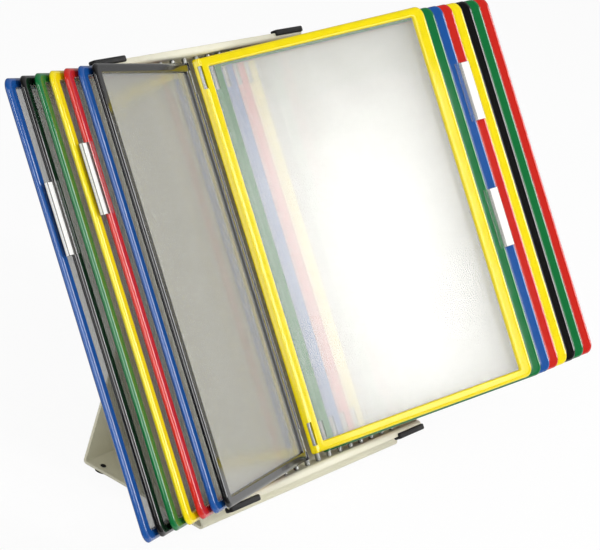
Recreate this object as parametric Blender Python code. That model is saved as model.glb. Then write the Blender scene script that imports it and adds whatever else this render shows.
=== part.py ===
"""Desk display stand: fifteen swinging document pockets between two pin rails.

Lengths are in metres, +Z is up and the stand faces -Y. A sheet-steel rack leans back on a folded
foot. Each pocket is a plastic border, a clear sleeve in the border's groove and a steel rod in its
spine, and it turns about that rod, whose ends stand in holes of the rack's two rails. Places on the
rack are given along X, then up the rack, then out from the row of rods.
"""

import math

import bmesh
import bpy
from mathutils import Matrix, Vector

# Play left between pieces that touch
GAP = 0.0003

# Pocket: border, sleeve and rod
POCKET_WIDTH = 0.2360
POCKET_HEIGHT = 0.3100
BORDER_THICK = 0.0040
BORDER_CHAMFER = 0.0012
OUTER_CORNER = 0.0080
SPINE_CORNER = 0.0020
SIDE_STRIP = 0.0130
END_STRIP = 0.0075
SPINE_MARGIN = 0.0042
GROOVE_DEPTH = 0.0026
SHEET_THICK = 0.00035
MOUTH_THICK = 0.0005
ROD_RADIUS = 0.0020
PIN_RADIUS = 0.0013
HEM_WALL = 0.0006
HEM_WINDOW_LENGTH = 0.0180
HEM_WINDOW_INSET = 0.0060
PIN_POINT = 0.0005
PIN_STICK_OUT = 0.0025

# Row of pockets on the rack
POCKET_COUNT = 15
LEFT_COUNT = 7
PITCH = 0.0158
LIFT = math.radians(19.2)
COLOURS = ("blue", "black", "green", "yellow", "red", "blue", "black",
           "yellow", "green", "blue", "red", "yellow", "black", "green", "red")
# How far some pockets have slid up their rods, by pocket number
POCKET_SLIDES = {8: 0.0018}

# Rack: back plate with a lipped rail folded out at each end and a low wall along each side
INCLINE = math.radians(51.0)
STEEL_THICK = 0.0020
BEND_RADIUS = 0.0010
RACK_SIDE = 0.0299
RAIL_CLEARANCE = 0.0040
RAIL_REACH = 0.0095
RAIL_LIP = 0.0058
PLATE_DEPTH = 0.0160

# Foot: front lip, base, rear leg and the hem that lies on the plate's back
FOOT_DEPTH = 0.1140
FOOT_FRONT_DROP = 0.0200
LIP_LENGTH = 0.0340
HEM_LENGTH = 0.0240
PAD_HEIGHT = 0.0015
PAD_RADIUS = 0.0055
PAD_STEM_RADIUS = 0.0014
PAD_HEAD_RADIUS = 0.0022
PAD_HEAD_HEIGHT = 0.0010
PAD_SIDE_INSET = 0.0065
PAD_FRONT_INSET = 0.0200
PAD_REAR_INSET = 0.0170

# Rubber buffers pushed over the ends of the rails' lips
BUFFER_LENGTH = 0.0385
BUFFER_WALL = 0.0020
BUFFER_BITE = 0.0024
BUFFER_ROUND = 0.0015

# Index tabs: pocket number and distance of the tab's top below the pocket's top
TAB_DROPS = {2: 0.0710, 5: 0.0510, 9: 0.1550, 10: 0.0500}
TAB_LENGTH = 0.0490
TAB_GRIP = 0.0065
TAB_FLAG = 0.0107
TAB_WALL = 0.0005
TAB_FLAG_THICK = 0.0026

# Facets of round pieces
ROD_SIDES = 12
BEND_STEPS = 3
CORNER_STEPS = 4
HEM_STEPS = 4
PAD_SIDES = 20
CREASE = math.radians(35.0)

# Lengths and directions that follow from those above
BORE_RADIUS = ROD_RADIUS + GAP
HOLE_RADIUS = PIN_RADIUS + GAP
HEM_RADIUS = BORE_RADIUS + HEM_WALL
SLEEVE_THICK = 2 * SHEET_THICK + MOUTH_THICK
GROOVE_THICK = SLEEVE_THICK + 2 * GAP
OUTER_EDGE = POCKET_WIDTH - SPINE_MARGIN
WINDOW_LEFT = SIDE_STRIP - SPINE_MARGIN
WINDOW_RIGHT = OUTER_EDGE - SIDE_STRIP
RAIL_OUTSIDE = RAIL_CLEARANCE + STEEL_THICK
LIP_END = RAIL_CLEARANCE + RAIL_LIP
ROW_END = (POCKET_COUNT - 1) / 2 * PITCH
RACK_EDGE = ROW_END + RACK_SIDE
UP_RACK = Vector((0, math.cos(INCLINE), math.sin(INCLINE)))
OUT_OF_RACK = Vector((0, -math.sin(INCLINE), math.cos(INCLINE)))
PLATE_BACK = PLATE_DEPTH + STEEL_THICK
LIP_FRONT = PLATE_BACK + GAP
BASE_BOTTOM = PAD_HEIGHT + GAP
ROW_Y = FOOT_FRONT_DROP * math.cos(INCLINE) - LIP_FRONT * math.sin(INCLINE)
ROW_Z = BASE_BOTTOM + FOOT_FRONT_DROP * math.sin(INCLINE) + LIP_FRONT * math.cos(INCLINE)
ROW = Vector((0, ROW_Y, ROW_Z))

# Finishes: colour, roughness, metallic share, transmission share
FINISHES = {
    "blue": ((0.020, 0.085, 0.360), 0.32, 0.0, 0.0),
    "black": ((0.008, 0.008, 0.009), 0.32, 0.0, 0.0),
    "green": ((0.022, 0.150, 0.060), 0.32, 0.0, 0.0),
    "yellow": ((0.900, 0.720, 0.030), 0.32, 0.0, 0.0),
    "red": ((0.600, 0.030, 0.020), 0.32, 0.0, 0.0),
    "sleeve": ((0.780, 0.780, 0.760), 0.18, 0.0, 0.6),
    "steel": ((0.640, 0.640, 0.640), 0.22, 1.0, 0.0),
    "coated": ((0.520, 0.480, 0.400), 0.50, 0.0, 0.0),
    "rubber": ((0.012, 0.012, 0.012), 0.75, 0.0, 0.0),
    "tab": ((0.860, 0.870, 0.860), 0.20, 0.0, 0.3),
}


def clear_scene():
    for old in list(bpy.data.objects):
        bpy.data.objects.remove(old, do_unlink=True)


def material(name, finish):
    """A new Principled material for one piece."""
    colour, roughness, metallic, transmission = FINISHES[finish]
    made = bpy.data.materials.new(name)
    made.use_nodes = True
    shader = made.node_tree.nodes["Principled BSDF"]
    shader.inputs["Base Color"].default_value = (*colour, 1)
    shader.inputs["Roughness"].default_value = roughness
    shader.inputs["Metallic"].default_value = metallic
    shader.inputs["Transmission Weight"].default_value = transmission
    return made


def piece(name, mesh, finish, place=None, parent=None):
    """One finished object; a parent carries it when the piece swings."""
    made = bpy.data.objects.new(name, mesh)
    bpy.context.collection.objects.link(made)
    mesh.materials.clear()
    mesh.materials.append(material(name, finish))
    if parent:
        made.parent = parent
    if place:
        made.matrix_local = place
    return made


def shaded(mesh):
    """Round faces shaded smooth, edges past the crease angle kept sharp."""
    mesh.polygons.foreach_set("use_smooth", [True] * len(mesh.polygons))
    mesh.set_sharp_from_angle(angle=CREASE)
    return mesh


def prism(name, outline, start, end, axes="xy"):
    """A flat outline of two axes, drawn out along the third from start to end."""
    order = {"xy": (0, 1, 2), "xz": (0, 2, 1), "yz": (1, 2, 0)}[axes]
    vertices = []
    for height in (start, end):
        for a, b in outline:
            point = [0, 0, 0]
            point[order[0]], point[order[1]], point[order[2]] = a, b, height
            vertices.append(point)
    count = len(outline)
    faces = [tuple(range(count)), tuple(range(count, 2 * count))]
    faces += [(i, (i + 1) % count, count + (i + 1) % count, count + i) for i in range(count)]
    return solid(name, vertices, faces)


def solid(name, vertices, faces):
    """A closed mesh whose faces all look outwards."""
    mesh = bpy.data.meshes.new(name)
    mesh.from_pydata([tuple(v) for v in vertices], [], faces)
    work = bmesh.new()
    work.from_mesh(mesh)
    bmesh.ops.recalc_face_normals(work, faces=work.faces)
    work.to_mesh(mesh)
    work.free()
    return mesh


def box(name, low, high):
    outline = [(low[0], low[1]), (high[0], low[1]), (high[0], high[1]), (low[0], high[1])]
    return prism(name, outline, low[2], high[2])


def turned(name, profile, sides):
    """A profile of (radius, height) pairs turned about Z, closed by a point or disc at each end."""
    vertices, faces = [], []
    for radius, height in profile:
        for i in range(sides):
            angle = 2 * math.pi * i / sides
            vertices.append((radius * math.cos(angle), radius * math.sin(angle), height))
    for ring in range(len(profile) - 1):
        for i in range(sides):
            a, b = ring * sides + i, ring * sides + (i + 1) % sides
            faces.append((a, b, b + sides, a + sides))
    faces.append(tuple(range(sides)))
    faces.append(tuple(range((len(profile) - 1) * sides, len(profile) * sides)))
    return solid(name, vertices, faces)


def arc(centre, radius, start, end, steps):
    """Points on an arc, both ends included, angles in radians."""
    angles = [start + (end - start) * i / steps for i in range(steps + 1)]
    return [(centre[0] + radius * math.cos(a), centre[1] + radius * math.sin(a)) for a in angles]


def rounded_box(left, bottom, right, top, left_radius, right_radius):
    quarter = math.pi / 2
    corners = ((right, top, 0), (left, top, 1), (left, bottom, 2), (right, bottom, 3))
    outline = []
    for x, y, turn in corners:
        radius = right_radius if x == right else left_radius
        cx = x - radius if x == right else x + radius
        cy = y - radius if y == top else y + radius
        outline += arc((cx, cy), radius, turn * quarter, (turn + 1) * quarter, CORNER_STEPS)
    return outline


def bent_strip(points, thickness, radius):
    """The outline of a sheet folded along points; the sheet lies to the left of the way it is drawn."""
    left, right = [], []
    points = [Vector(p) for p in points]
    for i, point in enumerate(points):
        back = (point - points[i - 1]).normalized() if i else None
        ahead = (points[i + 1] - point).normalized() if i + 1 < len(points) else None
        if back is None or ahead is None:
            way = ahead or back
            side = Vector((-way.y, way.x))
            right.append(tuple(point))
            left.append(tuple(point + side * thickness))
            continue
        turn = math.atan2(back.cross(ahead), back.dot(ahead))
        inside_left = turn > 0
        outer = radius + thickness
        on_face = outer if inside_left else radius
        reach = on_face * math.tan(abs(turn) / 2)
        start = point - back * reach
        towards = Vector((-back.y, back.x)) * (1 if inside_left else -1)
        centre = start + towards * on_face
        first = math.atan2(-towards.y, -towards.x)
        other = radius if inside_left else outer
        right += arc(centre, on_face, first, first + turn, BEND_STEPS)
        left += arc(centre, other, first, first + turn, BEND_STEPS)
    return right + left[::-1]


def combine(target, tool, operation):
    """The mesh that a Boolean of two meshes gives."""
    first = bpy.data.objects.new("first", target)
    second = bpy.data.objects.new("second", tool)
    bpy.context.collection.objects.link(first)
    bpy.context.collection.objects.link(second)
    step = first.modifiers.new("step", "BOOLEAN")
    step.operation = operation
    step.solver = "EXACT"
    step.object = second
    graph = bpy.context.evaluated_depsgraph_get()
    made = bpy.data.meshes.new_from_object(first.evaluated_get(graph))
    bpy.data.objects.remove(first)
    bpy.data.objects.remove(second)
    return made


def cut(target, *tools):
    for tool in tools:
        target = combine(target, tool, "DIFFERENCE")
    return target


def moved(mesh, x, y, z):
    mesh.transform(Matrix.Translation((x, y, z)))
    return mesh


def along_y(mesh):
    """Lays a mesh made along Z down along Y."""
    mesh.transform(Matrix.Rotation(-math.pi / 2, 4, "X"))
    return mesh


def border_mesh():
    """Border of one pocket: X runs from the rod outwards, Y up the spine, Z is its thickness."""
    half, edge = BORDER_THICK / 2, BORDER_CHAMFER
    lean = math.asin(half / HEM_RADIUS)
    hem = arc((0, 0), HEM_RADIUS, math.pi - lean, lean, HEM_STEPS)
    upper = [(-SPINE_MARGIN, half - edge), (edge - SPINE_MARGIN, half)]
    upper += hem + [(OUTER_EDGE - edge, half), (OUTER_EDGE, half - edge)]
    profile = upper + [(x, -z) for x, z in reversed(upper)]
    body = prism("border", profile, 0, POCKET_HEIGHT, "xz")
    outline = rounded_box(-SPINE_MARGIN, 0, OUTER_EDGE, POCKET_HEIGHT, SPINE_CORNER, OUTER_CORNER)
    body = combine(body, prism("outline", outline, -2 * HEM_RADIUS, 2 * HEM_RADIUS), "INTERSECT")
    top = POCKET_HEIGHT - END_STRIP
    window = box("window", (WINDOW_LEFT, END_STRIP, -BORDER_THICK),
                 (WINDOW_RIGHT, top, BORDER_THICK))
    groove = box("groove", (WINDOW_LEFT - GROOVE_DEPTH, END_STRIP - GROOVE_DEPTH, -GROOVE_THICK / 2),
                 (WINDOW_RIGHT + GROOVE_DEPTH, POCKET_HEIGHT + END_STRIP, GROOVE_THICK / 2))
    ends = (BORE_RADIUS, -END_STRIP), (BORE_RADIUS, POCKET_HEIGHT + END_STRIP)
    bore = along_y(turned("bore", ends, ROD_SIDES))
    windows = []
    for low in (HEM_WINDOW_INSET, POCKET_HEIGHT - HEM_WINDOW_INSET - HEM_WINDOW_LENGTH):
        windows.append(box("hem_window", (-BORE_RADIUS, low, -2 * HEM_RADIUS),
                           (BORE_RADIUS, low + HEM_WINDOW_LENGTH, 2 * HEM_RADIUS)))
    return shaded(cut(body, window, groove, bore, *windows))


def sleeve_mesh():
    """Two clear sheets joined at the sides and foot, open at the top."""
    inset = GROOVE_DEPTH - GAP
    left, right = WINDOW_LEFT - inset, WINDOW_RIGHT + inset
    low, high = END_STRIP - inset, POCKET_HEIGHT - inset / 2
    weld = inset / 2
    half = SLEEVE_THICK / 2
    pouch = box("sleeve", (left, low, -half), (right, high, half))
    mouth = box("mouth", (left + weld, low + weld, -MOUTH_THICK / 2),
                (right - weld, high + weld, MOUTH_THICK / 2))
    return shaded(cut(pouch, mouth))


def rod_mesh():
    """Steel rod, stepped down at each end to a blunted pin that goes through the rail."""
    end = RAIL_OUTSIDE + PIN_STICK_OUT
    step = RAIL_CLEARANCE - GAP
    half = [(PIN_RADIUS - PIN_POINT, -end), (PIN_RADIUS, PIN_POINT - end),
            (PIN_RADIUS, -step), (ROD_RADIUS, -step)]
    profile = half + [(radius, POCKET_HEIGHT - height) for radius, height in reversed(half)]
    return shaded(along_y(turned("rod", profile, ROD_SIDES)))


def tab_mesh():
    """Clip round the border's outer edge with a flag beyond it, centred on its own origin."""
    inside = BORDER_THICK / 2 + GAP
    outside = inside + TAB_WALL
    flag = TAB_FLAG_THICK / 2
    upper = [(-TAB_GRIP, inside), (-TAB_GRIP, outside), (GAP + TAB_WALL, outside),
             (GAP + 2 * TAB_WALL, flag), (TAB_FLAG, flag)]
    lower = [(x, -z) for x, z in reversed(upper)]
    profile = upper + lower + [(GAP, -inside), (GAP, inside)]
    return shaded(prism("tab", profile, -TAB_LENGTH / 2, TAB_LENGTH / 2, "xz"))


def rack_place(x, up, out):
    """World place of a point given on the rack."""
    return ROW + Vector((x, 0, 0)) + UP_RACK * up + OUT_OF_RACK * out


def rack_matrix(x=0, up=0, out=0, swing=0):
    """Rack axes at a point of the rack, turned about the rod by swing."""
    basis = Matrix((Vector((1, 0, 0)), UP_RACK, OUT_OF_RACK)).transposed().to_4x4()
    turn = Matrix.Rotation(-swing, 4, "Y")
    return Matrix.Translation(rack_place(x, up, out)) @ basis @ turn


def pocket(number, shapes):
    """One pocket: its border, sleeve and rod hang on an empty that stands on the rod's axis."""
    colour = COLOURS[number - 1]
    swing = math.pi - LIFT if number <= LEFT_COUNT else LIFT
    middle = (POCKET_COUNT + 1) / 2
    axis = bpy.data.objects.new(f"axis_{number:02d}", None)
    bpy.context.collection.objects.link(axis)
    axis.matrix_local = rack_matrix((number - middle) * PITCH, swing=swing)
    slide = Matrix.Translation((0, POCKET_SLIDES.get(number, 0), 0))
    piece(f"border_{number:02d}_{colour}", shapes["border"].copy(), colour, slide, axis)
    piece(f"sleeve_{number:02d}", shapes["sleeve"].copy(), "sleeve", slide, axis)
    piece(f"rod_{number:02d}", shapes["rod"].copy(), "steel", parent=axis)
    if number in TAB_DROPS:
        height = POCKET_HEIGHT - TAB_DROPS[number] - TAB_LENGTH / 2
        place = slide @ Matrix.Translation((OUTER_EDGE, height, 0))
        piece(f"tab_{number:02d}", tab_mesh(), "tab", place, axis)


def pin_holes():
    """One tool for each rod, long enough for both rails."""
    middle = (POCKET_COUNT + 1) / 2
    for number in range(1, POCKET_COUNT + 1):
        ends = (HOLE_RADIUS, -2 * RAIL_OUTSIDE), (HOLE_RADIUS, POCKET_HEIGHT + 2 * RAIL_OUTSIDE)
        yield moved(along_y(turned("hole", ends, ROD_SIDES)), (number - middle) * PITCH, 0, 0)


def wall_top():
    """How far out a side wall reaches: its edge is just under the lowest pocket of its side."""
    return (RACK_SIDE - STEEL_THICK) * math.tan(LIFT) - (BORDER_THICK / 2 + GAP) / math.cos(LIFT)


def rack():
    """Plate, rails and lips folded from one sheet, a wall up each side, a hole for every pin."""
    low, high = -RAIL_OUTSIDE, POCKET_HEIGHT + RAIL_OUTSIDE
    lip = RAIL_REACH - STEEL_THICK
    path = ((-LIP_END, lip), (low, lip), (low, -PLATE_BACK), (high, -PLATE_BACK), (high, lip),
            (POCKET_HEIGHT + LIP_END, lip))
    outline = bent_strip(path, STEEL_THICK, BEND_RADIUS)
    body = prism("rack", outline, -RACK_EDGE, RACK_EDGE, "yz")
    for start in (-RACK_EDGE, RACK_EDGE - STEEL_THICK):
        wall = box("wall", (start, low + STEEL_THICK / 2, STEEL_THICK / 2 - PLATE_BACK),
                   (start + STEEL_THICK, high - STEEL_THICK / 2, wall_top()))
        body = combine(body, wall, "UNION")
    piece("rack", shaded(cut(body, *pin_holes())), "coated", rack_matrix())


def foot():
    """Front lip, base, rear leg and top hem, folded from one sheet that carries the rack."""
    hem_out = -LIP_FRONT - STEEL_THICK
    hem_up = (FOOT_DEPTH - ROW_Y + hem_out * math.sin(INCLINE)) / math.cos(INCLINE)
    lip_top = rack_place(0, LIP_LENGTH - FOOT_FRONT_DROP, -LIP_FRONT)
    leg_top = rack_place(0, hem_up, hem_out)
    hem_top = rack_place(0, hem_up + HEM_LENGTH, hem_out)
    path = (lip_top.yz, (0, BASE_BOTTOM), (FOOT_DEPTH, BASE_BOTTOM), leg_top.yz, hem_top.yz)
    outline = bent_strip(path, STEEL_THICK, BEND_RADIUS)
    body = prism("foot", outline, -RACK_EDGE, RACK_EDGE, "yz")
    holes = []
    for x, y in pad_places().values():
        profile = (PAD_STEM_RADIUS + GAP, 0), (PAD_STEM_RADIUS + GAP, BASE_BOTTOM + 2 * STEEL_THICK)
        holes.append(moved(turned("hole", profile, PAD_SIDES), x, y, 0))
    piece("foot", shaded(cut(body, *holes)), "coated")


def pad_places():
    """Each pad's name and its place on the base."""
    side = RACK_EDGE - PAD_SIDE_INSET
    rear = FOOT_DEPTH - PAD_REAR_INSET
    return {"pad_front_left": (-side, PAD_FRONT_INSET), "pad_front_right": (side, PAD_FRONT_INSET),
            "pad_rear_left": (-side, rear), "pad_rear_right": (side, rear)}


def pads():
    """Rubber feet whose stems are pushed up through the base."""
    top = BASE_BOTTOM + STEEL_THICK + GAP
    profile = ((PAD_RADIUS, 0), (PAD_RADIUS, PAD_HEIGHT), (PAD_STEM_RADIUS, PAD_HEIGHT),
               (PAD_STEM_RADIUS, top), (PAD_HEAD_RADIUS, top), (PAD_HEAD_RADIUS, top + PAD_HEAD_HEIGHT))
    for name, (x, y) in pad_places().items():
        mesh = shaded(turned(name, profile, PAD_SIDES))
        piece(name, mesh, "rubber", Matrix.Translation((x, y, 0)))


def buffer_mesh():
    """Buffer on the right end of the lower rail's lip, in rack axes."""
    low, high = -LIP_END - GAP - BUFFER_WALL, BUFFER_BITE - LIP_END
    back, front = RAIL_REACH - STEEL_THICK - GAP - BUFFER_WALL, RAIL_REACH + GAP + BUFFER_WALL
    outline = rounded_box(low, back, high, front, BUFFER_ROUND, BUFFER_ROUND / 2)
    body = prism("buffer", outline, RACK_EDGE - BUFFER_LENGTH, RACK_EDGE, "yz")
    slot = box("slot", (0, -LIP_END - GAP, back + BUFFER_WALL),
               (2 * RACK_EDGE, 0, front - BUFFER_WALL))
    return cut(body, slot)


def mirrored(mesh, axis, about):
    """The mesh mirrored in the plane across axis (0 is X, 1 is Y) at about."""
    way = Vector([1 if i == axis else 0 for i in range(3)])
    mesh.transform(Matrix.Translation(way * 2 * about) @ Matrix.Scale(-1, 4, way))
    mesh.flip_normals()
    return mesh


def buffers():
    for side in ("left", "right"):
        for level in ("top", "bottom"):
            mesh = buffer_mesh()
            if side == "left":
                mesh = mirrored(mesh, 0, 0)
            if level == "top":
                mesh = mirrored(mesh, 1, POCKET_HEIGHT / 2)
            piece(f"buffer_{level}_{side}", shaded(mesh), "rubber", rack_matrix())


def settle():
    """Slides every loose object along Y so that the whole stand is centred on the world's origin."""
    bpy.context.view_layer.update()
    depths = [(made.matrix_world @ corner.co).y for made in bpy.data.objects if made.type == "MESH"
              for corner in made.data.vertices]
    middle = (min(depths) + max(depths)) / 2
    for made in bpy.data.objects:
        if not made.parent:
            made.location.y -= middle


def build():
    clear_scene()
    shapes = {"border": border_mesh(), "sleeve": sleeve_mesh(), "rod": rod_mesh()}
    for number in range(1, POCKET_COUNT + 1):
        pocket(number, shapes)
    rack()
    foot()
    pads()
    buffers()
    settle()


build()
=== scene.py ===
# Desk display stand: fifteen swinging document pockets between two rails of a leaning steel stand.
# Lengths are metres. Rack axes are X to the right, Y up the slope and Z out of the rack's front.
import math

import bmesh
import bpy
from mathutils import Matrix, Vector, noise


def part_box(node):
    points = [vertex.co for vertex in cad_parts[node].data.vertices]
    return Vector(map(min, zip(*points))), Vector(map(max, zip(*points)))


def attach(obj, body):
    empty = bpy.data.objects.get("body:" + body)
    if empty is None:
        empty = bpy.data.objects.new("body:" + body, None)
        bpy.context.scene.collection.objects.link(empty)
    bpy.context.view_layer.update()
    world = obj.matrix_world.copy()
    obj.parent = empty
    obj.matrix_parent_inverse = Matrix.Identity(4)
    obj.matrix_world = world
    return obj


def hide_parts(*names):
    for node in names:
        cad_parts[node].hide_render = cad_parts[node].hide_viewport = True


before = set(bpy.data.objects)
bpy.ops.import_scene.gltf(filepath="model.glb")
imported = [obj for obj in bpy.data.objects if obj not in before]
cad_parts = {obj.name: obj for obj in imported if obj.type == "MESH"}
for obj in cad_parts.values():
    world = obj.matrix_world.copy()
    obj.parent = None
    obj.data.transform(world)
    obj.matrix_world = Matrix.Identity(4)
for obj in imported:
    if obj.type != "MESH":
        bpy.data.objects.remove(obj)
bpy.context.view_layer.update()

# ------------------------------------------------------------------------------------------------
# Foot
# Mild steel sheet, 2 mm thick, folded into a front lip, a base, a rear leg and a hem. It is powder
# coated after folding, so its cut edges are softened by the coat. Lip and hem lie flat on the
# rack's back.
# ------------------------------------------------------------------------------------------------
SHEET = 0.0020
BEND = 0.0010
SOFTENED_EDGE = 0.00035
POCKET_HEIGHT = 0.3100
RACK_HALF_WIDTH = 0.1405
PLATE_BACK = 0.0180
JOINT_GAP = 0.0003
BASE_BOTTOM = 0.0018
FOOT_DEPTH = 0.1140
FOOT_DROP = 0.0200
LIP_LENGTH = 0.0340
HEM_LENGTH = 0.0240
SHEET_CORNER = 0.0026
CORNER_STEPS = 5
INCLINE = math.radians(51)
BEND_STEPS = 7
CREASE = math.radians(32)

up_rack = Vector((0, math.cos(INCLINE), math.sin(INCLINE)))
out_of_rack = Vector((0, -math.sin(INCLINE), math.cos(INCLINE)))
middle_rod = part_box("rod_08")
row = (middle_rod[0] + middle_rod[1]) / 2 - up_rack * POCKET_HEIGHT / 2
rack_turn = Matrix((Vector((1, 0, 0)), up_rack, out_of_rack)).transposed().to_4x4()
rack_axes = Matrix.Translation(row) @ rack_turn
lip_out = -PLATE_BACK - JOINT_GAP
foot_front = row.y - (rack_axes.to_3x3() @ Vector((0, -FOOT_DROP, lip_out))).y


def linear(colour):
    """Scene-linear colour of an sRGB hex value."""
    parts = [int(colour[i:i + 2], 16) / 255 for i in (1, 3, 5)]
    return (*[c / 12.92 if c <= 0.04045 else ((c + 0.055) / 1.055) ** 2.4 for c in parts], 1)


def add(tree, kind, inputs=None, **settings):
    """A node with its settings; inputs maps a socket's name or number to a value or an output."""
    node = tree.nodes.new(kind)
    for name, value in settings.items():
        setattr(node, name, value)
    for key, value in (inputs or {}).items():
        if isinstance(value, bpy.types.NodeSocket):
            tree.links.new(value, node.inputs[key])
        else:
            node.inputs[key].default_value = value
    return node


def surface(name, **sockets):
    """A new Principled material with these constants, its tree, its shader and its coordinates."""
    made = bpy.data.materials.new(name)
    made.use_nodes = True
    tree = made.node_tree
    shader = tree.nodes["Principled BSDF"]
    for key, value in sockets.items():
        shader.inputs[key.replace("_", " ")].default_value = value
    return made, tree, shader, add(tree, "ShaderNodeTexCoord").outputs["Object"]


def mesh_of(name, points, faces):
    """A closed mesh: doubled points merged, every face turned outwards."""
    mesh = bpy.data.meshes.new(name)
    mesh.from_pydata([tuple(p) for p in points], [], faces)
    work = bmesh.new()
    work.from_mesh(mesh)
    bmesh.ops.remove_doubles(work, verts=work.verts, dist=1e-7)
    bmesh.ops.dissolve_degenerate(work, edges=work.edges, dist=1e-8)
    bmesh.ops.recalc_face_normals(work, faces=work.faces)
    work.to_mesh(mesh)
    work.free()
    return mesh


def finished(name, mesh, material, body, slot, *nodes):
    """A piece of the object: shaded, riding on its body, in the place of the CAD nodes."""
    mesh.polygons.foreach_set("use_smooth", [True] * len(mesh.polygons))
    mesh.set_sharp_from_angle(angle=CREASE)
    mesh.materials.clear()
    mesh.materials.append(material)
    made = bpy.data.objects.new(name, mesh)
    bpy.context.collection.objects.link(made)
    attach(made, body)
    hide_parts(*nodes)
    return made


def combined(mesh, tool, operation):
    """The mesh that an exact Boolean of two closed meshes gives."""
    pair = [bpy.data.objects.new("part", data) for data in (mesh, tool)]
    for part in pair:
        bpy.context.collection.objects.link(part)
    step = pair[0].modifiers.new("step", "BOOLEAN")
    step.operation, step.solver, step.object = operation, "EXACT", pair[1]
    graph = bpy.context.evaluated_depsgraph_get()
    made = bpy.data.meshes.new_from_object(pair[0].evaluated_get(graph))
    for part in pair:
        bpy.data.objects.remove(part)
    return made


def ring_rows(rings):
    """Faces between rings of equal length, closed round, with the first and last ring capped."""
    count = len(rings[0])
    faces = []
    for level in range(len(rings) - 1):
        for i in range(count):
            a, b = level * count + i, level * count + (i + 1) % count
            faces.append((a, b, b + count, a + count))
    total = len(rings) * count
    return faces + [tuple(range(count)), tuple(range(total - count, total))]


def folded_sheet(name, path, half_width):
    """A sheet folded along a path of the YZ plane, on the left of the way the path is drawn.

    Each station is a point of the path's face, the way across the sheet and the length so far.
    The sheet's four corners are rounded, and its cut edges are softened.
    """
    path = [Vector(p) for p in path]
    stations, length = [], 0

    def station(point, across):
        nonlocal length
        if stations:
            length += (point - stations[-1][0]).length
        stations.append((point, across, length))

    ways = [(b - a).normalized() for a, b in zip(path, path[1:])]
    rims = [0, SOFTENED_EDGE] + [SHEET_CORNER * (1 - math.cos(math.pi / 2 * i / CORNER_STEPS))
                                 for i in range(2, CORNER_STEPS + 1)]
    side = Vector((-ways[0].y, ways[0].x))
    for rim in rims:
        station(path[0] + ways[0] * rim, side)
    for corner, before, after in zip(path[1:], ways, ways[1:]):
        turn = math.atan2(before.cross(after), before.dot(after))
        radius = BEND + SHEET if turn > 0 else BEND
        start = corner - before * radius * math.tan(abs(turn) / 2)
        towards = Vector((-before.y, before.x)) * math.copysign(1, turn)
        centre = start + towards * radius
        for i in range(BEND_STEPS + 1):
            spoke = Matrix.Rotation(turn * i / BEND_STEPS, 2) @ towards
            station(centre - spoke * radius, spoke * math.copysign(1, turn))
    side = Vector((-ways[-1].y, ways[-1].x))
    for rim in reversed(rims):
        station(path[-1] - ways[-1] * rim, side)

    soft = SOFTENED_EDGE
    section = ((-1, soft), (-1, 0), (1, 0), (1, soft), (1, SHEET - soft), (1, SHEET), (-1, SHEET),
               (-1, SHEET - soft))
    rings = []
    for point, across, at in stations:
        rim = min(at, length - at)
        bite = SHEET_CORNER - math.sqrt(max(0, SHEET_CORNER ** 2 - max(0, SHEET_CORNER - rim) ** 2))
        x, thin = half_width - bite, soft if rim < soft / 2 else 0
        ring = []
        for sx, v in section:
            inset = soft if v in (0, SHEET) or thin else 0
            place = point + across * min(max(v, thin), SHEET - thin)
            ring.append((sx * (x - inset), place.x, place.y))
        rings.append(ring)
    return mesh_of(name, [p for ring in rings for p in ring], ring_rows(rings))


def powder_coat(name):
    """Polyester powder coat on steel: satin, with the fine orange peel of a melted powder."""
    made, tree, shader, place = surface(name, Roughness=0.42, IOR=1.5)
    peel = add(tree, "ShaderNodeTexNoise", {"Vector": place, "Scale": 900, "Detail": 2})
    cloud = add(tree, "ShaderNodeTexNoise", {"Vector": place, "Scale": 14, "Detail": 3})
    tone = add(tree, "ShaderNodeMix", {"Factor": cloud.outputs["Fac"], 6: linear("#D9D5BC"),
                                       7: linear("#E4E1CC")}, data_type="RGBA")
    gloss = add(tree, "ShaderNodeMapRange", {"Value": cloud.outputs["Fac"], "From Min": 0.3,
                                             "From Max": 0.7, "To Min": 0.36, "To Max": 0.48})
    bump = add(tree, "ShaderNodeBump", {"Strength": 0.35, "Distance": 0.00012,
                                        "Height": peel.outputs["Fac"]})
    tree.links.new(tone.outputs[2], shader.inputs["Base Color"])
    tree.links.new(gloss.outputs[0], shader.inputs["Roughness"])
    tree.links.new(bump.outputs[0], shader.inputs["Normal"])
    return made


coat = powder_coat("powder_coated_steel")

hem_out = lip_out - SHEET
hem_up = (foot_front + FOOT_DEPTH - row.y + hem_out * math.sin(INCLINE)) / math.cos(INCLINE)
corners = [rack_axes @ Vector((0, LIP_LENGTH - FOOT_DROP, lip_out)),
           Vector((0, foot_front, BASE_BOTTOM)),
           Vector((0, foot_front + FOOT_DEPTH, BASE_BOTTOM)),
           rack_axes @ Vector((0, hem_up, hem_out)),
           rack_axes @ Vector((0, hem_up + HEM_LENGTH, hem_out))]
foot_mesh = folded_sheet("foot", [c.yz for c in corners], RACK_HALF_WIDTH)

# ------------------------------------------------------------------------------------------------
# Rubber feet
# Four black rubber buttons with a waisted stem, pushed up through holes in the base. Moulded, so
# every edge is round and the surface is matt.
# ------------------------------------------------------------------------------------------------
PAD_RADIUS = 0.0055
PAD_HEIGHT = 0.0015
PAD_STEM = 0.0014
PAD_HEAD = 0.0022
PAD_HEAD_HEIGHT = 0.0010
PAD_SIDES = 40
PAD_ROUND = 0.0005
PAD_SHOULDER = 0.0004
PAD_EASE = 0.00015
STEM_FILLET = 0.0002
HEAD_EASE = 0.0003
HEAD_ROUND = 0.0009


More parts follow.
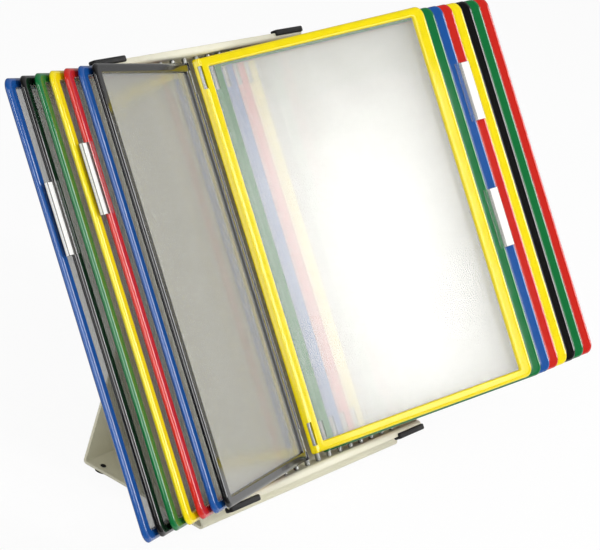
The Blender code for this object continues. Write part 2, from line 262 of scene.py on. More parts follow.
def turned(name, profile, sides, place=(0, 0, 0)):
    """A profile of (radius, height) pairs turned about an upright axis at place."""
    rings = [[(place[0] + r * math.cos(2 * math.pi * i / sides),
               place[1] + r * math.sin(2 * math.pi * i / sides), place[2] + z)
              for i in range(sides)] for r, z in profile]
    return mesh_of(name, [p for ring in rings for p in ring], ring_rows(rings))


def moulded_rubber(name):
    """Black moulded rubber: matt, with a faint grain and a grey bloom where it has been handled."""
    made, tree, shader, place = surface(name, Roughness=0.62, IOR=1.45)
    grain = add(tree, "ShaderNodeTexNoise", {"Vector": place, "Scale": 1400, "Detail": 2})
    bloom = add(tree, "ShaderNodeTexNoise", {"Vector": place, "Scale": 120, "Detail": 4})
    tone = add(tree, "ShaderNodeMix", {"Factor": bloom.outputs["Fac"], 6: linear("#090909"),
                                       7: linear("#171717")}, data_type="RGBA")
    bump = add(tree, "ShaderNodeBump", {"Strength": 0.4, "Distance": 0.0001,
                                        "Height": grain.outputs["Fac"]})
    tree.links.new(tone.outputs[2], shader.inputs["Base Color"])
    tree.links.new(bump.outputs[0], shader.inputs["Normal"])
    return made


rubber = moulded_rubber("moulded_black_rubber")
base_top = BASE_BOTTOM + SHEET
head = base_top + JOINT_GAP
head_top = head + PAD_HEAD_HEIGHT
pad_profile = [(0, 0), (PAD_RADIUS - PAD_ROUND, 0), (PAD_RADIUS - PAD_EASE, PAD_EASE),
               (PAD_RADIUS, PAD_ROUND), (PAD_RADIUS, PAD_HEIGHT - PAD_SHOULDER),
               (PAD_RADIUS - PAD_SHOULDER, PAD_HEIGHT), (PAD_STEM + STEM_FILLET, PAD_HEIGHT),
               (PAD_STEM, PAD_HEIGHT + STEM_FILLET), (PAD_STEM, head),
               (PAD_HEAD - STEM_FILLET, head), (PAD_HEAD, head + STEM_FILLET),
               (PAD_HEAD - HEAD_EASE, head_top - HEAD_EASE), (PAD_HEAD - HEAD_ROUND, head_top),
               (0, head_top)]
hole_profile = [(PAD_STEM + JOINT_GAP, 0), (PAD_STEM + JOINT_GAP, 2 * base_top)]
for name in ("pad_front_left", "pad_front_right", "pad_rear_left", "pad_rear_right"):
    low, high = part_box(name)
    centre = ((low.x + high.x) / 2, (low.y + high.y) / 2, low.z)
    hole = turned("hole", hole_profile, PAD_SIDES, centre)
    foot_mesh = combined(foot_mesh, hole, "DIFFERENCE")
    pad = turned(name, pad_profile, PAD_SIDES, centre)
    finished("rubber_" + name, pad, rubber, "stand", "black_rubber", name)
finished("folded_foot", foot_mesh, coat, "stand", "coated_steel", "foot")

# ------------------------------------------------------------------------------------------------
# Rack
# One steel sheet folded into a back plate with a rail and a lip across its top and bottom, and a
# low wall up each side. A row of punched holes in each rail takes the rods' pins.
# ------------------------------------------------------------------------------------------------
RAIL_CLEARANCE = 0.0040
RAIL_OUTSIDE = RAIL_CLEARANCE + SHEET
RAIL_LIP = 0.0058
RAIL_REACH = 0.0095
PIN_HOLE = 0.0016
HOLE_SIDES = 24
POCKET_COUNT = 15
LEFT_COUNT = 7
PITCH = 0.0158
LIFT = math.radians(19.2)
HALF_THICK = 0.0020

lip_end = RAIL_CLEARANCE + RAIL_LIP
lip = RAIL_REACH - SHEET
rail_low, rail_high = -RAIL_OUTSIDE, POCKET_HEIGHT + RAIL_OUTSIDE
rack_mesh = folded_sheet("rack", [(-lip_end, lip), (rail_low, lip), (rail_low, -PLATE_BACK),
                                  (rail_high, -PLATE_BACK), (rail_high, lip),
                                  (POCKET_HEIGHT + lip_end, lip)], RACK_HALF_WIDTH)
row_end = (POCKET_COUNT - 1) / 2 * PITCH
wall_top = (RACK_HALF_WIDTH - row_end - SHEET) * math.tan(LIFT)
wall_top -= (HALF_THICK + JOINT_GAP) / math.cos(LIFT)


def slab(name, low, high, soft, steps=2):
    """A block between two corners whose edges are all softened."""
    work = bmesh.new()
    bmesh.ops.create_cube(work, size=1)
    for corner in work.verts:
        corner.co = [low[i] if corner.co[i] < 0 else high[i] for i in range(3)]
    bmesh.ops.bevel(work, geom=work.edges[:], offset=soft, segments=steps, profile=0.5,
                    affect="EDGES")
    mesh = bpy.data.meshes.new(name)
    work.to_mesh(mesh)
    work.free()
    return mesh


for start in (-RACK_HALF_WIDTH, RACK_HALF_WIDTH - SHEET):
    wall = slab("wall", (start, rail_low + SHEET / 2, SHEET / 2 - PLATE_BACK),
                (start + SHEET, rail_high - SHEET / 2, wall_top), SOFTENED_EDGE)
    rack_mesh = combined(rack_mesh, wall, "UNION")
punches = bmesh.new()
for number in range(1, POCKET_COUNT + 1):
    x = (number - (POCKET_COUNT + 1) / 2) * PITCH
    for level in (-RAIL_CLEARANCE - SHEET / 2, POCKET_HEIGHT + RAIL_CLEARANCE + SHEET / 2):
        place = Matrix.Translation((x, level, 0)) @ Matrix.Rotation(math.pi / 2, 4, "X")
        bmesh.ops.create_cone(punches, cap_ends=True, segments=HOLE_SIDES, radius1=PIN_HOLE,
                              radius2=PIN_HOLE, depth=2 * SHEET, matrix=place)
punch_mesh = bpy.data.meshes.new("punches")
punches.to_mesh(punch_mesh)
punches.free()
rack_mesh = combined(rack_mesh, punch_mesh, "DIFFERENCE")
rack_mesh.transform(rack_axes)
finished("folded_rack", rack_mesh, coat, "stand", "coated_steel", "rack")

# ------------------------------------------------------------------------------------------------
# Rubber buffers
# Black rubber caps pushed over the ends of both rails' lips. The blocks of pockets knock against
# them when they are swung over.
# ------------------------------------------------------------------------------------------------
BUFFER_LENGTH = 0.0385
BUFFER_WALL = 0.0020
BUFFER_BITE = 0.0024
BUFFER_ROUND = 0.0013
BUFFER_STEPS = 4

for level in ("top", "bottom"):
    for side in ("left", "right"):
        edge_in, edge_out = RACK_HALF_WIDTH - BUFFER_LENGTH, RACK_HALF_WIDTH
        low_up = -lip_end - JOINT_GAP - BUFFER_WALL
        back = lip - JOINT_GAP - BUFFER_WALL
        front = RAIL_REACH + JOINT_GAP + BUFFER_WALL
        body = slab("buffer", (edge_in, low_up, back), (edge_out, BUFFER_BITE - lip_end, front),
                    BUFFER_ROUND, BUFFER_STEPS)
        slit = slab("slit", (edge_in - BUFFER_WALL, -lip_end - JOINT_GAP, lip - JOINT_GAP),
                    (edge_out + BUFFER_WALL, BUFFER_WALL, RAIL_REACH + JOINT_GAP), JOINT_GAP)
        mesh = combined(body, slit, "DIFFERENCE")
        if side == "left":
            mesh.transform(Matrix.Scale(-1, 4, (1, 0, 0)))
        if level == "top":
            mesh.transform(Matrix.Scale(-1, 4, (0, 1, 0)))
            mesh.transform(Matrix.Translation((0, POCKET_HEIGHT, 0)))
        if (side == "left") != (level == "top"):
            mesh.flip_normals()
        mesh.transform(rack_axes)
        finished(f"rubber_buffer_{level}_{side}", mesh, rubber, "stand", "black_rubber",
                 f"buffer_{level}_{side}")

# ------------------------------------------------------------------------------------------------
# Rods
# Drawn steel rods, 4 mm thick, zinc plated, one in each pocket's spine. Each end is turned down to
# a blunted pin that stands in the rail's hole.
# ------------------------------------------------------------------------------------------------
ROD_RADIUS = 0.0020
PIN_RADIUS = 0.0013
PIN_STICK_OUT = 0.0025
ROD_SIDES = 28
BLUNT = 0.0005


def zinc_plate(name):
    """Zinc plate on drawn wire: a satin grey mirror, broken by faint lines along the drawing."""
    made, tree, shader, place = surface(name, Base_Color=linear("#8E8F8B"), Metallic=1.0)
    drawn = add(tree, "ShaderNodeMapping", {"Vector": place, "Scale": (2600, 60, 60)})
    lines = add(tree, "ShaderNodeTexNoise", {"Vector": drawn.outputs[0], "Scale": 1, "Detail": 2})
    gloss = add(tree, "ShaderNodeMapRange", {"Value": lines.outputs["Fac"], "From Min": 0.3,
                                             "From Max": 0.7, "To Min": 0.22, "To Max": 0.36})
    bump = add(tree, "ShaderNodeBump", {"Strength": 0.15, "Distance": 0.00005,
                                        "Height": lines.outputs["Fac"]})
    tree.links.new(gloss.outputs[0], shader.inputs["Roughness"])
    tree.links.new(bump.outputs[0], shader.inputs["Normal"])
    return made


def row_tree():
    """Geometry nodes that stand a pocket's shape at its own place in the row of rods.

    The shape's X runs out from the rod and its Y up the spine. Pockets up to Left Count lean over
    to the left and the others to the right.
    """
    tree = bpy.data.node_groups.new("pocket_row", "GeometryNodeTree")
    face = tree.interface
    face.new_socket("Shape", in_out="INPUT", socket_type="NodeSocketGeometry")
    for label, kind in (("Count", "Int"), ("Number", "Int"), ("Left Count", "Int"),
                        ("Pitch", "Float"), ("Lift", "Float"), ("Slide", "Float"),
                        ("Incline", "Float"), ("Row", "Vector"), ("Finish", "Material")):
        face.new_socket(label, in_out="INPUT", socket_type="NodeSocket" + kind)
    face.new_socket("Placed", in_out="OUTPUT", socket_type="NodeSocketGeometry")
    given = add(tree, "NodeGroupInput").outputs
    gaps = add(tree, "ShaderNodeMath", {0: given["Count"], 1: 1.0}, operation="SUBTRACT")
    first = add(tree, "ShaderNodeMath", {0: gaps.outputs[0], 1: -0.5}, operation="MULTIPLY")
    start = add(tree, "ShaderNodeMath", {0: first.outputs[0], 1: given["Pitch"]},
                operation="MULTIPLY")
    line = add(tree, "GeometryNodeMeshLine", {
        "Count": given["Count"],
        "Start Location": add(tree, "ShaderNodeCombineXYZ", {"X": start.outputs[0]}).outputs[0],
        "Offset": add(tree, "ShaderNodeCombineXYZ", {"X": given["Pitch"]}).outputs[0]})
    rank = add(tree, "ShaderNodeMath", {0: add(tree, "GeometryNodeInputIndex").outputs[0], 1: 1.0},
               operation="ADD")
    mine = add(tree, "FunctionNodeCompare", {2: rank.outputs[0], 3: given["Number"]},
               data_type="INT", operation="EQUAL")
    on_left = add(tree, "FunctionNodeCompare", {2: rank.outputs[0], 3: given["Left Count"]},
                  data_type="INT", operation="LESS_EQUAL")
    over = add(tree, "ShaderNodeMath", {0: math.pi, 1: given["Lift"]}, operation="SUBTRACT")
    swing = add(tree, "GeometryNodeSwitch", {"Switch": on_left.outputs[0], "False": given["Lift"],
                                             "True": over.outputs[0]}, input_type="FLOAT")
    turn = add(tree, "ShaderNodeMath", {0: swing.outputs[0], 1: -1.0}, operation="MULTIPLY")
    slid = add(tree, "GeometryNodeTransform", {
        "Geometry": given["Shape"],
        "Translation": add(tree, "ShaderNodeCombineXYZ", {"Y": given["Slide"]}).outputs[0]})
    placed = add(tree, "GeometryNodeInstanceOnPoints", {
        "Points": line.outputs[0], "Selection": mine.outputs[0], "Instance": slid.outputs[0],
        "Rotation": add(tree, "ShaderNodeCombineXYZ", {"Y": turn.outputs[0]}).outputs[0]})
    real = add(tree, "GeometryNodeRealizeInstances", {"Geometry": placed.outputs[0]})
    leaning = add(tree, "GeometryNodeTransform", {
        "Geometry": real.outputs[0], "Translation": given["Row"],
        "Rotation": add(tree, "ShaderNodeCombineXYZ", {"X": given["Incline"]}).outputs[0]})
    coated = add(tree, "GeometryNodeSetMaterial", {"Geometry": leaning.outputs[0],
                                                   "Material": given["Finish"]})
    add(tree, "NodeGroupOutput", {0: coated.outputs[0]})
    return tree


pocket_row = row_tree()


def applied(tree, mesh, values):
    """The plain mesh that a tree of geometry nodes makes of a mesh with these named inputs."""
    holder = bpy.data.objects.new("holder", mesh)
    bpy.context.collection.objects.link(holder)
    step = holder.modifiers.new("step", "NODES")
    step.node_group = tree
    for item in tree.interface.items_tree:
        if item.name in values:
            step[item.identifier] = values[item.name]
    graph = bpy.context.evaluated_depsgraph_get()
    made = bpy.data.meshes.new_from_object(holder.evaluated_get(graph))
    bpy.data.objects.remove(holder)
    return made


def in_row(mesh, number, finish, slide=0.0):
    """A pocket's shape at the place of that number in the row, slid that far up its rod."""
    return applied(pocket_row, mesh, {
        "Count": POCKET_COUNT, "Number": number, "Left Count": LEFT_COUNT, "Pitch": PITCH,
        "Lift": LIFT, "Slide": slide, "Incline": INCLINE, "Row": row, "Finish": finish})


zinc = zinc_plate("bright_zinc_plated_steel")
pin_end = RAIL_OUTSIDE + PIN_STICK_OUT
shoulder = RAIL_CLEARANCE - JOINT_GAP
half_rod = [(0, -pin_end), (PIN_RADIUS - BLUNT, -pin_end), (PIN_RADIUS, BLUNT - pin_end),
            (PIN_RADIUS, -shoulder), (ROD_RADIUS - BLUNT / 2, -shoulder),
            (ROD_RADIUS, BLUNT / 2 - shoulder)]
rod_profile = half_rod + [(r, POCKET_HEIGHT - z) for r, z in reversed(half_rod)]
rod_mesh = turned("rod", rod_profile, ROD_SIDES)
rod_mesh.transform(Matrix.Rotation(-math.pi / 2, 4, "X"))
for number in range(1, POCKET_COUNT + 1):
    placed = in_row(rod_mesh, number, zinc)
    finished(f"steel_rod_{number:02d}", placed, zinc, f"pocket_{number:02d}", "bright_steel",
             f"rod_{number:02d}")

# ------------------------------------------------------------------------------------------------
# Pocket borders
# Plasticised PVC in five colours. Each border is one frame, round at its outer edge, flat on its
# face and thin where it is welded on to the film. The spine has a hem for the rod, with a window
# near each end, and the top edge has the slot that a sheet is slid into.
# ------------------------------------------------------------------------------------------------
COLOURS = ("blue", "black", "green", "yellow", "red", "blue", "black",
           "yellow", "green", "blue", "red", "yellow", "black", "green", "red")
PVC_COLOURS = {"blue": "#1A529C", "black": "#0C0C0D", "green": "#0F7038", "yellow": "#F6DF10",
               "red": "#CC261C"}
POCKET_SLIDES = {8: 0.0018}
SPINE_MARGIN = 0.0042
OUTER_EDGE = 0.2318
SIDE_STRIP = 0.0130
END_STRIP = 0.0075
SPINE_CORNER = 0.0020
OUTER_CORNER = 0.0080
WINDOW_CORNER = 0.0012
HEM_RADIUS = 0.0029
BORE_RADIUS = 0.0023
HEM_WINDOW_LENGTH = 0.0180
HEM_WINDOW_INSET = 0.0060
HEM_END = 0.0006
HEM_STEP = 0.0007
HEM_POINTS = 11
SLOT_WIDTH = 0.0006
SLOT_DEPTH = 0.0030
CREST_SHARE = 0.30
CREST_POWER = 1.7
INNER_DROP = 0.0018
INNER_LIP = 0.0008
LIP_ROUND = 0.0005
RING_PLACES = (0, .08, .25, .55, .95, 1.4, 1.9, 2.3, 2.8, 3.3, 3.8, 4.3, 4.8, 5.3, 5.8, 6.2, 6.6,
               7.1, 7.5, 8.0, 8.6, 8.9, 9.2, 9.5, 10.2, 11.2, 11.6, 12.0, 12.4, 12.7, 12.9,
               12.97, 13.0)
CORNER_POINTS = 9

window_left = SIDE_STRIP - SPINE_MARGIN
window_right = OUTER_EDGE - SIDE_STRIP


def border_height(x, way_in, width):
    """Half thickness of the border at a distance in from its outer edge.

    It rises to its flat top like a tube and drops at last to the thin lip that holds the film.
    """
    crest = CREST_SHARE * width
    rise = min(way_in / crest, 1)
    crown = HALF_THICK * (1 - (1 - rise) ** CREST_POWER) ** (1 / CREST_POWER)
    fall = max(way_in - width + INNER_DROP, 0) / INNER_DROP
    crown -= (HALF_THICK - INNER_LIP) * fall ** 2
    rim = min(max((width - way_in) / LIP_ROUND, 0), 1)
    crown *= math.sqrt(1 - (1 - rim) ** 2)
    hem = math.sqrt(max(0, HEM_RADIUS ** 2 - x * x))
    hem *= (1 - (1 - min(way_in / HEM_END, 1)) ** 2) ** 0.5
    return max(crown, hem)


def border_outline(left, bottom, right, top, spine_corner, outer_corner):
    """Points round a rounded rectangle, with extra ones where the end strips cross the hem."""
    outline = []
    corners = ((right - outer_corner, top - outer_corner, outer_corner),
               (left + spine_corner, top - spine_corner, spine_corner),
               (left + spine_corner, bottom + spine_corner, spine_corner),
               (right - outer_corner, bottom + outer_corner, outer_corner))
    hem_line = [left + spine_corner + HEM_STEP * k for k in range(1, HEM_POINTS + 1)]
    for quarter, (cx, cy, radius) in enumerate(corners):
        for i in range(CORNER_POINTS):
            angle = math.pi / 2 * (quarter + i / (CORNER_POINTS - 1))
            outline.append((cx + radius * math.cos(angle), cy + radius * math.sin(angle)))
        if quarter == 0:
            outline += [(x, top) for x in reversed(hem_line)]
        if quarter == 2:
            outline += [(x, bottom) for x in hem_line]
    return outline


outer = border_outline(-SPINE_MARGIN, 0, OUTER_EDGE, POCKET_HEIGHT, SPINE_CORNER, OUTER_CORNER)
inner = border_outline(window_left, END_STRIP, window_right, POCKET_HEIGHT - END_STRIP,
                       WINDOW_CORNER, WINDOW_CORNER)
front, rear = [], []
for place in RING_PLACES:
    share = place / RING_PLACES[-1]
    ring = []
    for (ax, ay), (bx, by) in zip(outer, inner):
        x, y = ax + (bx - ax) * share, ay + (by - ay) * share
        width = math.hypot(bx - ax, by - ay)
        nearest = min(width, SIDE_STRIP)
        ring.append((x, y, border_height(x, share * nearest, nearest)))
    front.append(ring)
    rear.append([(x, y, -z) for x, y, z in ring])
loops = front + rear[-2:0:-1]
count = len(outer)
faces = []
for level in range(len(loops)):
    for i in range(count):
        j, after = (i + 1) % count, (level + 1) % len(loops)
        faces.append((level * count + i, level * count + j, after * count + j, after * count + i))
border_mesh = mesh_of("border", [p for ring in loops for p in ring], faces)
bore_ends = [(BORE_RADIUS, -END_STRIP), (BORE_RADIUS, POCKET_HEIGHT + END_STRIP)]
bore = turned("bore", bore_ends, ROD_SIDES)
bore.transform(Matrix.Rotation(-math.pi / 2, 4, "X"))
slot_left, slot_low = window_left + SPINE_CORNER, POCKET_HEIGHT - SLOT_DEPTH
cutters = [bore, slab("slot", (slot_left, slot_low, -SLOT_WIDTH / 2),
                      (window_right, POCKET_HEIGHT + SLOT_DEPTH, SLOT_WIDTH / 2), SLOT_WIDTH / 8)]
for low in (HEM_WINDOW_INSET, POCKET_HEIGHT - HEM_WINDOW_INSET - HEM_WINDOW_LENGTH):
    cutters.append(slab("hem_window", (-BORE_RADIUS, low, -2 * HEM_RADIUS),
                        (BORE_RADIUS, low + HEM_WINDOW_LENGTH, 2 * HEM_RADIUS), BORE_RADIUS / 4))
for cutter in cutters:
    border_mesh = combined(border_mesh, cutter, "DIFFERENCE")


def soft_pvc(name, colour):
    """Plasticised PVC, welded under a smooth die: glossy, with a soft ripple along the strips."""
    made, tree, shader, place = surface(name, IOR=1.47)
    ripple = add(tree, "ShaderNodeTexNoise", {"Vector": place, "Scale": 90, "Detail": 3})
    dust = add(tree, "ShaderNodeTexNoise", {"Vector": place, "Scale": 700, "Detail": 2})
    shade = [c * 0.86 for c in linear(colour)[:3]] + [1]
    tone = add(tree, "ShaderNodeMix", {"Factor": ripple.outputs["Fac"], 6: shade,
                                       7: linear(colour)}, data_type="RGBA")
    gloss = add(tree, "ShaderNodeMapRange", {"Value": dust.outputs["Fac"], "From Min": 0.3,
                                             "From Max": 0.7, "To Min": 0.07, "To Max": 0.12})
    bump = add(tree, "ShaderNodeBump", {"Strength": 0.2, "Distance": 0.0003,
                                        "Height": ripple.outputs["Fac"]})
    tree.links.new(tone.outputs[2], shader.inputs["Base Color"])
    tree.links.new(gloss.outputs[0], shader.inputs["Roughness"])
    tree.links.new(bump.outputs[0], shader.inputs["Normal"])
    return made


pvc = {colour: soft_pvc(f"glossy_{colour}_pvc", value) for colour, value in PVC_COLOURS.items()}
for number, colour in enumerate(COLOURS, 1):
    placed = in_row(border_mesh, number, pvc[colour], POCKET_SLIDES.get(number, 0.0))
    finished(f"pvc_border_{number:02d}_{colour}", placed, pvc[colour], f"pocket_{number:02d}",
             f"{colour}_pvc", f"border_{number:02d}_{colour}")

# ------------------------------------------------------------------------------------------------
# Sleeves
# Clear, faintly hazy PVC film. Two sheets are welded to the border down both sides and along the
# foot and stay open at the top. The film is never quite flat, so each sleeve has its own bow.
# ------------------------------------------------------------------------------------------------
FILM_HALF = 0.00030
WELD_REACH = 0.0015
FILM_BOW = 0.0006
FILM_COLUMNS = 28
FILM_ROWS = 40
MOUTH_DROP = 0.0004
WAVES_ACROSS = 11
WAVES_UP = 8
WAVES_APART = 3.7
RIPPLE_SHARE = 0.4
RIPPLE_SCALE = 3


def hazy_film(name):
    """Clear PVC film with an anti-glare grain: thinly hazy face on and hazier at a low angle, where
    its colour is also painted darker, as painted shade for the pockets seen edge-on.

    The high IOR stands for the shine of a sheet's many faces. Shadow rays pass, as light does.
    """
    made, tree, shader, place = surface(name, Roughness=0.20, IOR=2.5)
    grain = add(tree, "ShaderNodeTexNoise", {"Vector": place, "Scale": 1200, "Detail": 2})
    glance = add(tree, "ShaderNodeLayerWeight", {"Blend": 0.35}).outputs["Facing"]
    low = add(tree, "ShaderNodeMapRange", {"Value": glance, "From Min": 0.25, "From Max": 0.60})
    # Painted shade: the film's colour turns a darker grey the lower the angle it is seen at.
    haze_and_painted_shade = add(tree, "ShaderNodeMix", {"Factor": low.outputs[0], 6: linear("#CACAC4"),
                                       7: linear("#A3A299")}, data_type="RGBA")
    cover = add(tree, "ShaderNodeMapRange", {"Value": low.outputs[0], "To Min": 0.19,
                                             "To Max": 0.50})
    bump = add(tree, "ShaderNodeBump", {"Strength": 0.1, "Distance": 0.0001,
                                        "Height": grain.outputs["Fac"]})
    tree.links.new(haze_and_painted_shade.outputs[2], shader.inputs["Base Color"])
    tree.links.new(cover.outputs[0], shader.inputs["Alpha"])
    tree.links.new(bump.outputs[0], shader.inputs["Normal"])
    lit = add(tree, "ShaderNodeMixShader", {
        0: add(tree, "ShaderNodeLightPath").outputs["Is Shadow Ray"], 1: shader.outputs[0],
        2: add(tree, "ShaderNodeBsdfTransparent").outputs[0]})
    tree.links.new(lit.outputs[0], tree.nodes["Material Output"].inputs["Surface"])
    return made


film = hazy_film("clear_pvc_film")
film_left, film_right = window_left - WELD_REACH, window_right + WELD_REACH
film_low, film_high = END_STRIP - WELD_REACH, POCKET_HEIGHT - MOUTH_DROP


def sleeve_mesh(number):
    """A flat pouch with its own slight bow, in a pocket's axes."""
    def point(i, j, side):
        x = film_left + (film_right - film_left) * i / FILM_COLUMNS
        y = film_low + (film_high - film_low) * j / FILM_ROWS
        hold = math.sin(math.pi * i / FILM_COLUMNS) * math.sin(math.pi * min(j / FILM_ROWS, 0.5))
        spot = Vector((x * WAVES_ACROSS, y * WAVES_UP, number * WAVES_APART))
        ripple = RIPPLE_SHARE * noise.noise(spot * RIPPLE_SCALE)
        bow = FILM_BOW * hold * (noise.noise(spot) + ripple)
        edge = i in (0, FILM_COLUMNS) or j in (0, FILM_ROWS)
        return (x, y, bow + (0 if edge else side * FILM_HALF * min(1, 4 * hold + 0.5)))

    across = FILM_COLUMNS + 1
    points = [point(i, j, side) for side in (1, -1) for j in range(FILM_ROWS + 1)
              for i in range(across)]
    faces = []
    for side in range(2):
        for j in range(FILM_ROWS):
            for i in range(FILM_COLUMNS):
                a = side * across * (FILM_ROWS + 1) + j * across + i
                quad = (a, a + 1, a + across + 1, a + across)
                faces.append(quad if side == 0 else quad[::-1])
    return mesh_of(f"sleeve_{number:02d}", points, faces)


for number in range(1, POCKET_COUNT + 1):
    placed = in_row(sleeve_mesh(number), number, film, POCKET_SLIDES.get(number, 0.0))
    finished(f"film_sleeve_{number:02d}", placed, film, f"pocket_{number:02d}", "clear_film",
             f"sleeve_{number:02d}")

# ------------------------------------------------------------------------------------------------
# Index tabs
# Extruded clear plastic clips that grip a pocket's outer edge and can be slid along it. Each holds
# a folded white card in its flag. Its long folded edges are painted near black as painted shade,
# standing in for the light that runs along them inside the plastic.
# ------------------------------------------------------------------------------------------------
TAB_LENGTH = 0.0490
TAB_GRIP = 0.0065
TAB_FLAG = 0.0107
TAB_WALL = 0.0005
TAB_FLAG_HALF = 0.0013
TAB_BEND = 0.0003
TAB_SLOPE = 0.0010
TAB_EDGE = 0.0002
TAB_TIP = 0.0006
TAB_TIP_START = 0.0007
TAB_END_MARK = 0.0004
TAB_PLACES = {2: 0.0710, 5: 0.0510, 9: 0.1550, 10: 0.0500}
CARD_HALF = 0.0011
CARD_INSET = 0.0003
CARD_THICK = 0.0003


def clear_plastic(name):
    """Extruded clear polystyrene: water clear on its faces, painted shade on its folded edges."""
    made, tree, shader, place = surface(name, IOR=1.55)
    # Where the edge attribute is 1, the plastic is painted near black and almost opaque: painted
    # shade.
    edge = add(tree, "ShaderNodeAttribute", attribute_name="edge")
    tone = add(tree, "ShaderNodeMix", {"Factor": edge.outputs["Fac"], 6: linear("#EFF3F1"),
                                       7: linear("#2B2520")}, data_type="RGBA")
    cover = add(tree, "ShaderNodeMapRange", {"Value": edge.outputs["Fac"], "To Min": 0.04,
                                             "To Max": 0.92})
    scuffs = add(tree, "ShaderNodeTexNoise", {"Vector": place, "Scale": 400, "Detail": 4})
    gloss = add(tree, "ShaderNodeMapRange", {"Value": scuffs.outputs["Fac"], "From Min": 0.3,
                                             "From Max": 0.7, "To Min": 0.08, "To Max": 0.20})
    tree.links.new(tone.outputs[2], shader.inputs["Base Color"])
    tree.links.new(cover.outputs[0], shader.inputs["Alpha"])
    tree.links.new(gloss.outputs[0], shader.inputs["Roughness"])
    return made


def label_card(name):
    """Uncoated white card: matt, with the faint cloudiness of paper fibre."""
    made, tree, shader, place = surface(name, Roughness=0.85, IOR=1.45)
    fibre = add(tree, "ShaderNodeTexNoise", {"Vector": place, "Scale": 900, "Detail": 5})
    tone = add(tree, "ShaderNodeMix", {"Factor": fibre.outputs["Fac"], 6: linear("#F0EFE9"),
                                       7: linear("#FCFCFA")}, data_type="RGBA")
    bump = add(tree, "ShaderNodeBump", {"Strength": 0.3, "Distance": 0.00005,
                                        "Height": fibre.outputs["Fac"]})
    tree.links.new(tone.outputs[2], shader.inputs["Base Color"])
    tree.links.new(bump.outputs[0], shader.inputs["Normal"])
    return made


clear = clear_plastic("clear_extruded_plastic")
card = label_card("white_label_card")
grip_in, grip_out = HALF_THICK + JOINT_GAP, HALF_THICK + JOINT_GAP + TAB_WALL
neck = JOINT_GAP + TAB_WALL
flag = TAB_FLAG_HALF
# Each point's third value is painted shade: 1 where a folded edge is painted near black.
upper = [(-TAB_GRIP, grip_in, 0), (-TAB_GRIP, grip_out, 1), (-TAB_GRIP + TAB_WALL, grip_out, 0),
         (neck - TAB_BEND, grip_out, 0), (neck, grip_out - TAB_BEND, 1),
         (neck + TAB_WALL, flag, 1), (neck + TAB_SLOPE, flag, 0),
         (TAB_FLAG - TAB_TIP_START, flag, 0), (TAB_FLAG - TAB_EDGE, flag, 1),
         (TAB_FLAG, flag - TAB_EDGE, 1), (TAB_FLAG, flag - TAB_TIP, 0)]
profile = upper + [(x, -z, painted_shade) for x, z, painted_shade in reversed(upper)]
profile += [(JOINT_GAP, -grip_in, 0), (JOINT_GAP, grip_in, 0)]
for number, drop in TAB_PLACES.items():
    middle, half = POCKET_HEIGHT - drop - TAB_LENGTH / 2, TAB_LENGTH / 2
    rings = [[(OUTER_EDGE + x, middle + y, z) for x, z, painted_shade in profile]
             for y in (-half, -half + TAB_END_MARK, half - TAB_END_MARK, half)]
    holder = bpy.data.meshes.new("holder")
    holder.from_pydata([p for ring in rings for p in ring], [], ring_rows(rings))
    # The painted shade of each point goes on the mesh as its edge attribute.
    painted_shade_marks = holder.attributes.new("edge", "FLOAT", "POINT")
    painted_shade_marks.data.foreach_set("value", [painted_shade for ring in rings for x, z, painted_shade in profile])
    shell = bmesh.new()
    shell.from_mesh(holder)
    bmesh.ops.recalc_face_normals(shell, faces=shell.faces)
    shell.to_mesh(holder)
    shell.free()
    body, node = f"index_tab_{number:02d}", f"tab_{number:02d}"
    placed = in_row(holder, number, clear)
    finished(f"tab_holder_{number:02d}", placed, clear, body, "clear_tab", node)
    near, far = OUTER_EDGE + neck + CARD_INSET, OUTER_EDGE + TAB_FLAG - CARD_INSET
    bend, fold, inside = far - CARD_THICK, CARD_HALF, CARD_HALF - CARD_THICK
    sheet = [(near, fold), (bend, fold), (far, inside), (far, -inside), (bend, -fold),
             (near, -fold), (near, -inside), (bend, -inside), (bend, inside), (near, inside)]
    ends = [middle - half + CARD_INSET, middle + half - CARD_INSET]
    insert = mesh_of("card", [(x, y, z) for y in ends for x, z in sheet], ring_rows([sheet, sheet]))
    placed = in_row(insert, number, card)
    finished(f"tab_card_{number:02d}", placed, card, body, "clear_tab", node)

# ------------------------------------------------------------------------------------------------
# Studio
# A white floor and white surroundings, and four soft boxes: one lights the stand from above, one
# shines in the front pocket's film, one lights the left pockets, and a slim one draws the lines
# along the right pockets' edges. The camera stands at the photograph's place.
# ------------------------------------------------------------------------------------------------
FLOOR_SIZE = 12
FLOOR_GLOW = 0.93
CAMERA_PLACE = (-1.70405, -0.87594, 0.86194)
CAMERA_RIGHT = (0.521753, -0.806742, 0.277384)
CAMERA_DOWN = (-0.163793, -0.413833, -0.895497)
CAMERA_FORWARD = (0.837225, 0.421794, -0.348057)
CAMERA_LENS = 163.871
SENSOR = 36
BACKDROP_WAY = (0.89, 0.45, 0.0)
BACKDROP_EDGE = (0.1, 0.5)
ROOM_LEVEL = 0.10
BACKDROP_LEVEL = 0.38
AMBIENT = 0.34
FILM_PASSES = 48
AIM = Vector((0, 0, 0.15))
LAMPS = {"key_light": ((0.081, -0.754, 0.652), 1.61, (0.38, 0.70), 10),
         "glare_light": ((0.404, -0.724, 0.558), 1.50, (0.26, 0.43), 1.9),
         "left_light": ((-0.80, -0.30, 0.52), 2.2, (1.4, 1.4), 20),
         "edge_light": ((0.90, -0.345, 0.27), 1.7, (0.36, 0.60), 6.0)}


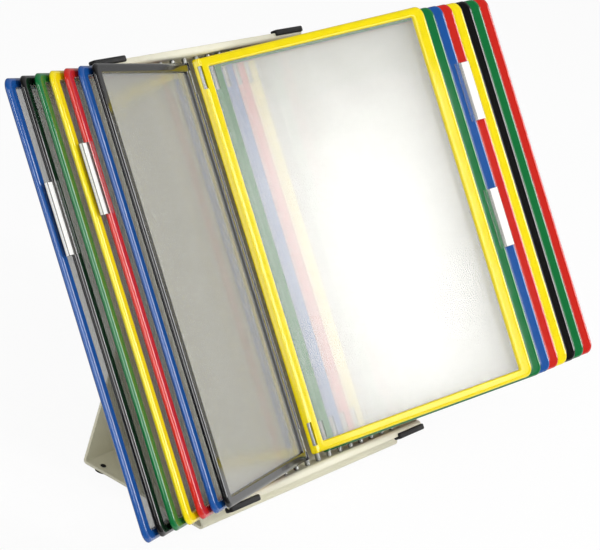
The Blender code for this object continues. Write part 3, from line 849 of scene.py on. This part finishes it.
def white_floor(name):
    """White seamless floor: white to the camera, but it keeps the shadow of what stands on it."""
    made, tree, shader, place = surface(name, Base_Color=(0.94, 0.94, 0.94, 1), Roughness=0.9,
                                        Specular_IOR_Level=0.1)
    seen = add(tree, "ShaderNodeLightPath")
    glow = add(tree, "ShaderNodeEmission", {"Color": (1, 1, 1, 1), "Strength": 1})
    part = add(tree, "ShaderNodeMath", {0: seen.outputs["Is Camera Ray"], 1: FLOOR_GLOW},
               operation="MULTIPLY")
    blend = add(tree, "ShaderNodeMixShader", {0: part.outputs[0], 1: shader.outputs[0],
                                              2: glow.outputs[0]})
    tree.links.new(blend.outputs[0], tree.nodes["Material Output"].inputs["Surface"])
    return made


bpy.ops.mesh.primitive_plane_add(size=FLOOR_SIZE, location=(0, 0, 0))
floor = bpy.context.object
floor.name = "floor"
floor.data.materials.append(white_floor("white_floor"))

# A block of eight pockets is sixteen faces of film deep, and light that is followed through only
# the default eight of them is lost and leaves the film grey.
bpy.context.scene.cycles.transparent_max_bounces = FILM_PASSES
world = bpy.data.worlds.new("white_surroundings")
bpy.context.scene.world = world
world.use_nodes = True
world.node_tree.nodes.clear()
tree = world.node_tree
path = add(tree, "ShaderNodeLightPath").outputs
mirrored = add(tree, "ShaderNodeMath", {0: path["Is Glossy Ray"], 1: path["Is Transmission Ray"]},
               operation="MAXIMUM")
way = add(tree, "ShaderNodeTexCoord").outputs["Generated"]
behind = add(tree, "ShaderNodeVectorMath", {0: way, 1: BACKDROP_WAY}, operation="DOT_PRODUCT")
sweep = add(tree, "ShaderNodeMapRange", {"Value": behind.outputs["Value"],
                                         "From Min": BACKDROP_EDGE[0],
                                         "From Max": BACKDROP_EDGE[1], "To Min": ROOM_LEVEL,
                                         "To Max": BACKDROP_LEVEL})
bounce = add(tree, "ShaderNodeMix", {0: mirrored.outputs[0], 2: AMBIENT, 3: sweep.outputs[0]})
level = add(tree, "ShaderNodeMix", {0: path["Is Camera Ray"], 2: bounce.outputs[0], 3: 1.0})
sky = add(tree, "ShaderNodeBackground", {"Color": (1, 1, 1, 1), "Strength": level.outputs[0]})
add(tree, "ShaderNodeOutputWorld", {"Surface": sky.outputs[0]})

for name, (way, far, size, watts) in LAMPS.items():
    lamp = bpy.data.lights.new(name, "AREA")
    lamp.shape, lamp.size, lamp.size_y, lamp.energy = "RECTANGLE", *size, watts
    held = bpy.data.objects.new(name, lamp)
    back = Vector(way).normalized()
    side = up_rack.cross(back).normalized()
    turn = Matrix((side, back.cross(side), back)).transposed().to_4x4()
    held.matrix_world = Matrix.Translation(AIM + back * far) @ turn
    bpy.context.collection.objects.link(held)

camera = bpy.data.cameras.new("camera")
camera.sensor_width, camera.lens = SENSOR, CAMERA_LENS
camera.clip_start, camera.clip_end = 0.05, 50
viewer = bpy.data.objects.new("camera", camera)
camera_axes = (CAMERA_RIGHT, [-c for c in CAMERA_DOWN], [-c for c in CAMERA_FORWARD])
columns = Matrix(camera_axes).transposed()
viewer.matrix_world = Matrix.Translation(CAMERA_PLACE) @ columns.to_4x4()
bpy.context.collection.objects.link(viewer)
bpy.context.scene.camera = viewer
bpy.context.scene.view_settings.view_transform = "Standard"
